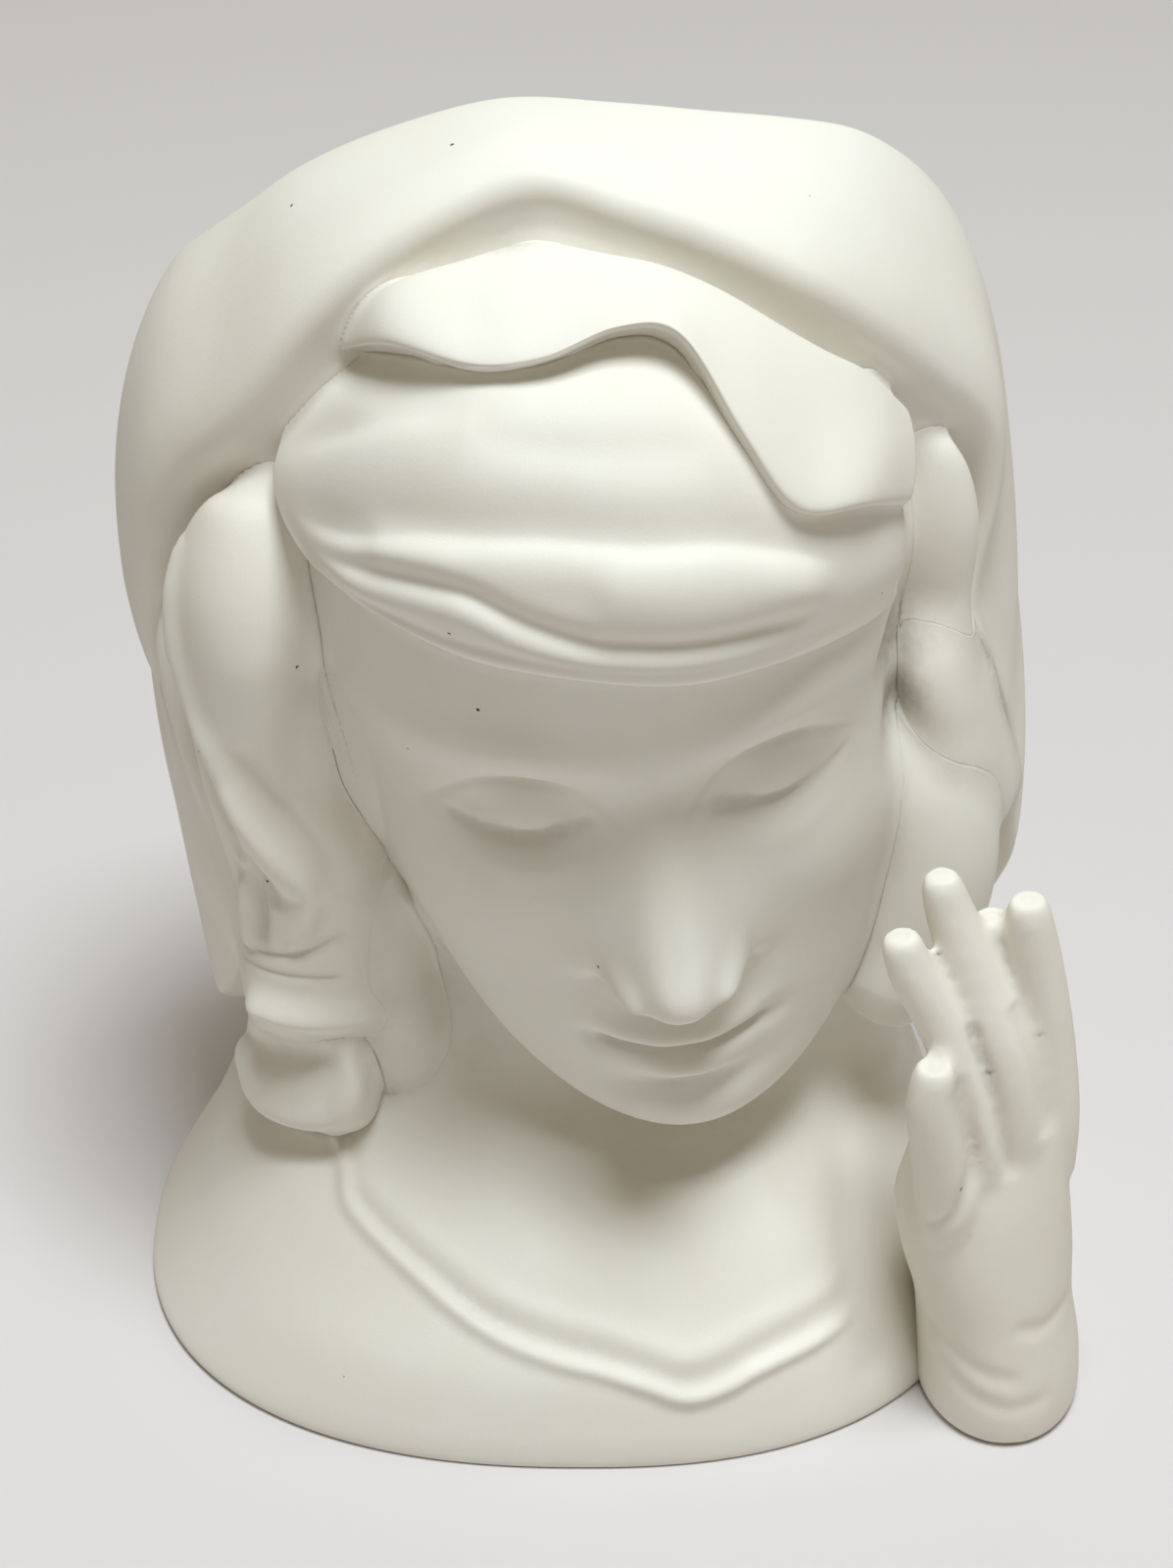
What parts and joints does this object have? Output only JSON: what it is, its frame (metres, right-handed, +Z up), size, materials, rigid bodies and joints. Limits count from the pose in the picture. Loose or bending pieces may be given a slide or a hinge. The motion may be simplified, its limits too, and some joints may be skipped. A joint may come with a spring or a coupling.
{
  "type": "head vase",
  "caption": "Hollow white bisque porcelain vase in the shape of a veiled lady's bowed head and bust, open at the top, with a raised hand at the shoulder.",
  "frame": {"origin": "on the flat foot, in the plane that the vase stands on, under the middle of the mouth", "axes": "+Z up, -Y the way the lady faces, +X towards her left shoulder and raised left hand"},
  "size_m": [0.1437, 0.1212, 0.189],
  "materials": {
    "bisque": "matte unglazed bisque porcelain",
    "hand_bisque": "matte unglazed bisque porcelain"
  },
  "bodies": {
    "root": {"bust": "bisque", "head": "bisque", "veil": "bisque", "veil_fold": "bisque", "fringe": "bisque", "right_lock": "bisque", "right_curl": "bisque", "right_back_lock": "bisque", "right_nape_lock": "bisque", "left_temple_lock": "bisque", "left_side_lock": "bisque", "left_long_lock": "bisque", "hand": "hand_bisque"}
  },
  "joints": []
}
